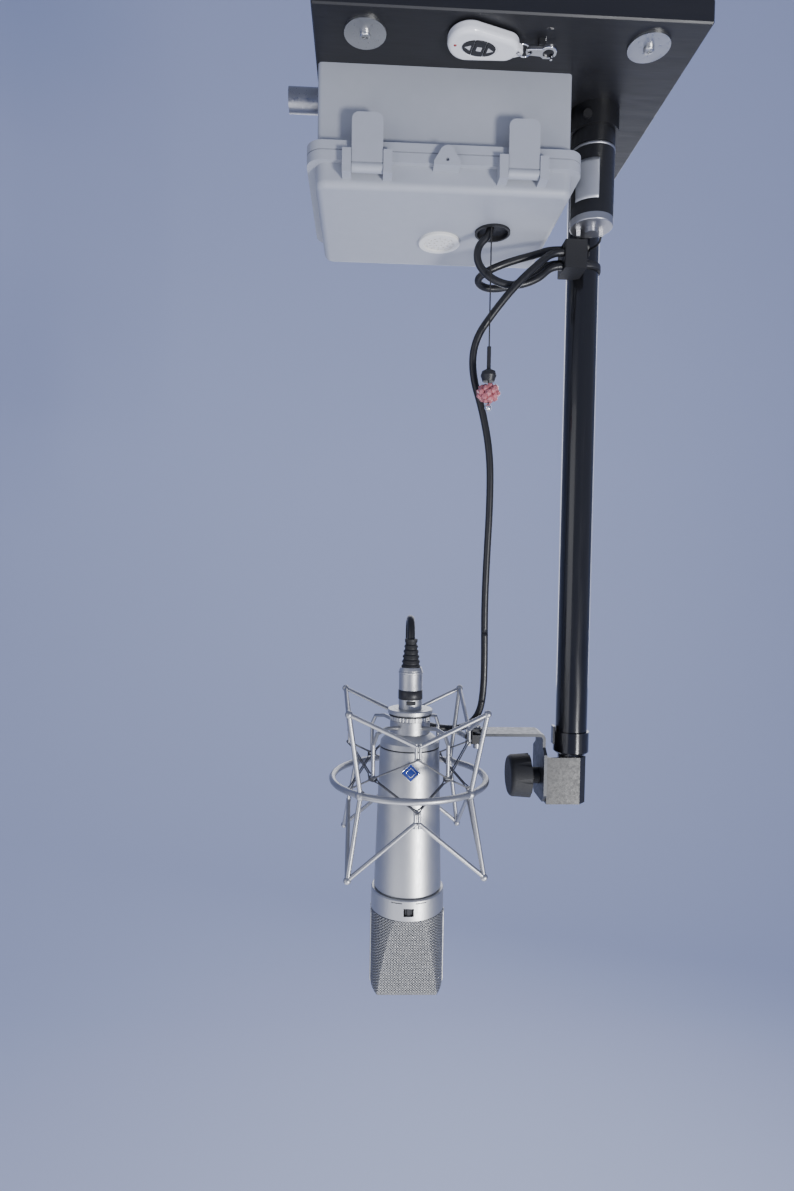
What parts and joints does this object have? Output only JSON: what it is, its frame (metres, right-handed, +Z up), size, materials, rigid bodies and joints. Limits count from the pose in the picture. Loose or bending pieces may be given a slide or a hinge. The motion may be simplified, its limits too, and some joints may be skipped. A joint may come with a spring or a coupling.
{
  "type": "ceiling microphone boom",
  "caption": "Ceiling-mounted motorised boom: control box, telescoping pole, elastic suspension and studio microphone on one board.",
  "frame": {"origin": "centre of the mounting board's top face, which lies against the ceiling", "axes": "+Z up into the ceiling, +X right, -Y front (latches, badge)"},
  "size_m": [0.281, 0.2, 0.6968],
  "materials": {
    "board": "black painted plywood",
    "zinc": "zinc plated",
    "box_grey": "light grey moulded plastic",
    "chrome": "polished plating",
    "circuit": "solder mask",
    "vent": "cream moulded plastic",
    "rubber": "matt black",
    "fob_white": "glossy white",
    "button_black": "dark soft buttons",
    "black_metal": "semi-gloss black",
    "motor_metal": "bright steel",
    "rod": "bright drawn",
    "nut_brass": "machined",
    "cage_nickel": "satin nickel wire",
    "elastic": "black elastic",
    "mic_nickel": "satin nickel",
    "mesh": "woven wire mesh",
    "badge": "blue enamel",
    "capsule": "gold on brass",
    "switch": "black",
    "cable": "black cable jacket",
    "cord": "thin dark cord",
    "weight": "dark bead cap and small bright ball",
    "bead": "faceted rose glass"
  },
  "bodies": {
    "ceiling_unit": {"board": "board", "washers": "zinc", "screws": "zinc", "box_base": "box_grey", "hinge_pins": "zinc", "side_fitting": "chrome", "receiver_pcb": "circuit", "fob_pad": "rubber", "gearbox_housing": "black_metal", "motor_can": "black_metal", "motor_endcap": "motor_metal", "outer_tube": "black_metal", "collar": "black_metal", "cable_tie": "rubber", "cable_entry": "cable", "cable_slack": "cable", "cable_drop": "cable"},
    "screw_shaft": {"lead_screw": "motor_metal"},
    "motor_shaft": {"motor_pulley": "motor_metal"},
    "pole_rod": {"inner_rod": "rod", "drive_nut": "nut_brass", "yoke": "black_metal", "cable_elbow": "cable"},
    "clamp_knob": {"knob": "rubber", "knob_stud": "motor_metal"},
    "bracket": {"strap": "black_metal", "cable_link": "cable"},
    "cage": {"swivel_block": "black_metal", "swivel_screw": "motor_metal", "outer_cage": "cage_nickel", "elastic_bands": "elastic", "cable_tail": "cable"},
    "microphone": {"inner_basket": "cage_nickel", "mic_body": "mic_nickel", "badge": "badge", "head_ring": "mic_nickel", "grille_frame": "mic_nickel", "grille_mesh": "mesh", "capsule": "capsule", "mic_pcb": "circuit", "connector_shell": "mic_nickel", "boot": "rubber"},
    "foot_nut": {"ring_nut": "mic_nickel"},
    "slide_switch": {"pattern_switch": "switch"},
    "plug_release": {"connector_latch": "switch"},
    "box_lid": {"lid": "box_grey", "vent_disc": "vent", "grommet": "rubber"},
    "left_latch": {"latch_left": "box_grey"},
    "right_latch": {"latch_right": "box_grey"},
    "pull": {"pull_cord": "cord", "cord_weight": "weight", "bead": "bead"},
    "fob": {"fob_shell": "fob_white", "fob_ring": "chrome", "clasp_body": "chrome"},
    "hook_gate": {"clasp_lever": "chrome"},
    "button_up": {"fob_button_up": "button_black"},
    "button_stop": {"fob_button_stop": "button_black"},
    "button_down": {"fob_button_down": "button_black"}
  },
  "joints": [
    {"name": "pole_extend", "type": "slide", "parent": "ceiling_unit", "child": "pole_rod", "axis": [0, 0, -1], "range_m": [0, 0.25], "deforming": ["cable_drop"]},
    {"name": "screw_turn", "type": "hinge", "parent": "ceiling_unit", "child": "screw_shaft", "pos_m": [0.086, 0.028, -0.025], "axis": [0, 0, 1], "continuous": true},
    {"name": "motor_turn", "type": "hinge", "parent": "ceiling_unit", "child": "motor_shaft", "pos_m": [0.0817, -0.006, -0.025], "axis": [0, 0, 1], "continuous": true},
    {"name": "knob_turn", "type": "hinge", "parent": "pole_rod", "child": "clamp_knob", "pos_m": [0.045, 0.028, -0.5437], "axis": [1, 0, 0], "continuous": true},
    {"name": "bracket_tilt", "type": "hinge", "parent": "pole_rod", "child": "bracket", "pos_m": [0.06025, 0.028, -0.5437], "axis": [1, 0, 0], "range_deg": [-15, 15], "deforming": ["cable_elbow", "cable_link"]},
    {"name": "cage_pan", "type": "hinge", "parent": "bracket", "child": "cage", "pos_m": [0.0055, 0.0285, -0.507], "axis": [0, 0, 1], "range_deg": [-20, 20], "deforming": ["cable_link", "cable_tail"]},
    {"name": "mic_float", "type": "slide", "parent": "cage", "child": "microphone", "axis": [0, 0, 1], "range_m": [-0.003, 0.003], "stiffness_N_per_m": 6000, "springref_m": 0.0013, "deforming": ["elastic_bands", "cable_tail"]},
    {"name": "foot_nut_turn", "type": "hinge", "parent": "microphone", "child": "foot_nut", "pos_m": [-0.054, -0.014, -0.482], "axis": [0, 0, 1], "continuous": true},
    {"name": "switch_slide", "type": "slide", "parent": "microphone", "child": "slide_switch", "axis": [0.9998, -0.0174, 0], "range_m": [-0.0008, 0.0008]},
    {"name": "plug_release_press", "type": "slide", "parent": "microphone", "child": "plug_release", "axis": [0, 1, 0], "range_m": [0, 0.0008], "stiffness_N_per_m": 800, "springref_m": -0.0005},
    {"name": "lid_hinge", "type": "hinge", "parent": "ceiling_unit", "child": "box_lid", "pos_m": [0, 0.065, -0.0685], "axis": [1, 0, 0], "range_deg": [0, 75], "deforming": ["cable_entry", "cable_slack", "cable_drop", "pull_cord"]},
    {"name": "latch_left_turn", "type": "hinge", "parent": "box_lid", "child": "left_latch", "pos_m": [-0.0931, -0.0585, -0.093], "axis": [1, 0, 0], "range_deg": [0, 105]},
    {"name": "latch_right_turn", "type": "hinge", "parent": "box_lid", "child": "right_latch", "pos_m": [0.0162, -0.0585, -0.093], "axis": [1, 0, 0], "range_deg": [0, 105]},
    {"name": "pull_hang", "type": "hinge", "parent": "box_lid", "child": "pull", "pos_m": [0.0035, -0.0065, -0.1034], "axis": [1, 0, 0], "range_deg": [-80, 5]},
    {"name": "fob_take", "type": "slide", "parent": "ceiling_unit", "child": "fob", "axis": [0, 0, -1], "range_m": [0, 0.06]},
    {"name": "gate_swing", "type": "hinge", "parent": "fob", "child": "hook_gate", "pos_m": [0.02554, -0.07181, -0.0216], "axis": [0, 0, 1], "range_deg": [-22, 0], "stiffness_Nm_per_rad": 0.01, "springref_deg": 11.46},
    {"name": "press_up", "type": "slide", "parent": "fob", "child": "button_up", "axis": [0, 0, 1], "range_m": [0, 0.0008], "stiffness_N_per_m": 600, "springref_m": -0.0004},
    {"name": "press_stop", "type": "slide", "parent": "fob", "child": "button_stop", "axis": [0, 0, 1], "range_m": [0, 0.0008], "stiffness_N_per_m": 600, "springref_m": -0.0004},
    {"name": "press_down", "type": "slide", "parent": "fob", "child": "button_down", "axis": [0, 0, 1], "range_m": [0, 0.0008], "stiffness_N_per_m": 600, "springref_m": -0.0004}
  ],
  "couplings": [
    {"joint": "screw_turn", "follows": "pole_extend", "rad_per_m": 628.32},
    {"joint": "motor_turn", "follows": "pole_extend", "rad_per_m": 934.82},
    {"joint": "pull_hang", "follows": "lid_hinge", "ratio": -1}
  ]
}
